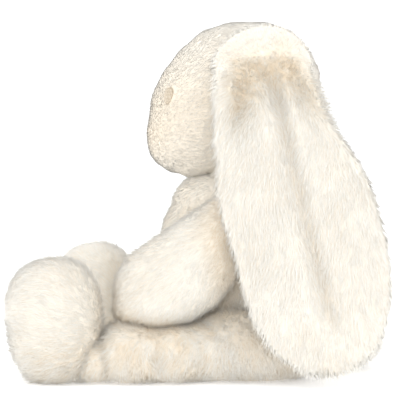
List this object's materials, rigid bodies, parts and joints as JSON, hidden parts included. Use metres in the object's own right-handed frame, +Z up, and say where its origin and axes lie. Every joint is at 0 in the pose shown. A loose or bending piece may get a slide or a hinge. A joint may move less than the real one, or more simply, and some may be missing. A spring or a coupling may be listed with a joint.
{
  "type": "stuffed bunny rabbit",
  "caption": "Sitting plush rabbit with long hanging ears, stuffed limbs and an embroidered face; it nods, and its ears, arms and legs move.",
  "frame": {"origin": "middle of the flat seat, on the surface that the rabbit sits on", "axes": "+Z up, the rabbit faces -Y, its left side is +X"},
  "size_m": [0.201, 0.2458, 0.2363],
  "materials": {
    "cream_fur": "deep soft pile, cream, warmer at the roots",
    "ear_lining_fur": "shorter soft pile, cream",
    "stuffing": "matt loose polyester fibre",
    "pouch_cloth": "plain woven cotton",
    "embroidery_thread": "satin-stitched thread with a slight sheen",
    "sewing_thread": "spun thread"
  },
  "bodies": {
    "torso": {"torso_front_panel": "cream_fur", "torso_left_panel": "cream_fur", "torso_right_panel": "cream_fur", "seat_panel": "cream_fur", "torso_stuffing": "stuffing", "neck_stuffing": "stuffing", "bean_pouch": "pouch_cloth", "neck_stitching": "sewing_thread", "closing_stitches": "sewing_thread"},
    "head": {"head_left_panel": "cream_fur", "head_gusset": "cream_fur", "head_right_panel": "cream_fur", "head_stuffing": "stuffing", "left_eye": "embroidery_thread", "right_eye": "embroidery_thread", "nose": "embroidery_thread", "mouth": "embroidery_thread"},
    "tail": {"tail_fur": "cream_fur", "tail_stuffing": "stuffing"},
    "left_ear": {"left_ear_outer": "cream_fur", "left_ear_inner": "ear_lining_fur"},
    "left_arm": {"left_arm_outer": "cream_fur", "left_arm_inner": "cream_fur", "left_arm_stuffing": "stuffing"},
    "left_leg": {"left_leg_upper": "cream_fur", "left_leg_under": "cream_fur", "left_leg_stuffing": "stuffing", "left_foot_sole": "cream_fur", "left_foot_upper": "cream_fur", "left_foot_stuffing": "stuffing"},
    "right_ear": {"right_ear_outer": "cream_fur", "right_ear_inner": "ear_lining_fur"},
    "right_arm": {"right_arm_outer": "cream_fur", "right_arm_inner": "cream_fur", "right_arm_stuffing": "stuffing"},
    "right_leg": {"right_leg_upper": "cream_fur", "right_leg_under": "cream_fur", "right_leg_stuffing": "stuffing", "right_foot_sole": "cream_fur", "right_foot_upper": "cream_fur", "right_foot_stuffing": "stuffing"}
  },
  "joints": [
    {"name": "head_nod", "type": "hinge", "parent": "torso", "child": "head", "pos_m": [0, 0, 0.137], "axis": [1, 0, 0], "range_deg": [-6, 12]},
    {"name": "left_ear_lift", "type": "hinge", "parent": "head", "child": "left_ear", "pos_m": [0.0455, 0.017, 0.224], "axis": [0, -1, 0], "range_deg": [0, 110]},
    {"name": "left_arm_raise", "type": "hinge", "parent": "torso", "child": "left_arm", "pos_m": [0.054, 0.006, 0.112], "axis": [-1, 0, 0], "range_deg": [0, 32]},
    {"name": "left_leg_splay", "type": "hinge", "parent": "torso", "child": "left_leg", "pos_m": [0.06, -0.046, 0.0185], "axis": [0, 0, 1], "range_deg": [0, 24]},
    {"name": "right_ear_lift", "type": "hinge", "parent": "head", "child": "right_ear", "pos_m": [-0.0455, 0.017, 0.224], "axis": [0, 1, 0], "range_deg": [0, 110]},
    {"name": "right_arm_raise", "type": "hinge", "parent": "torso", "child": "right_arm", "pos_m": [-0.054, 0.006, 0.112], "axis": [-1, 0, 0], "range_deg": [0, 32]},
    {"name": "right_leg_splay", "type": "hinge", "parent": "torso", "child": "right_leg", "pos_m": [-0.06, -0.046, 0.0185], "axis": [0, 0, -1], "range_deg": [0, 24]},
    {"name": "tail_lift", "type": "hinge", "parent": "torso", "child": "tail", "pos_m": [0, 0.06, 0.024], "axis": [1, 0, 0], "range_deg": [0, 20]}
  ]
}
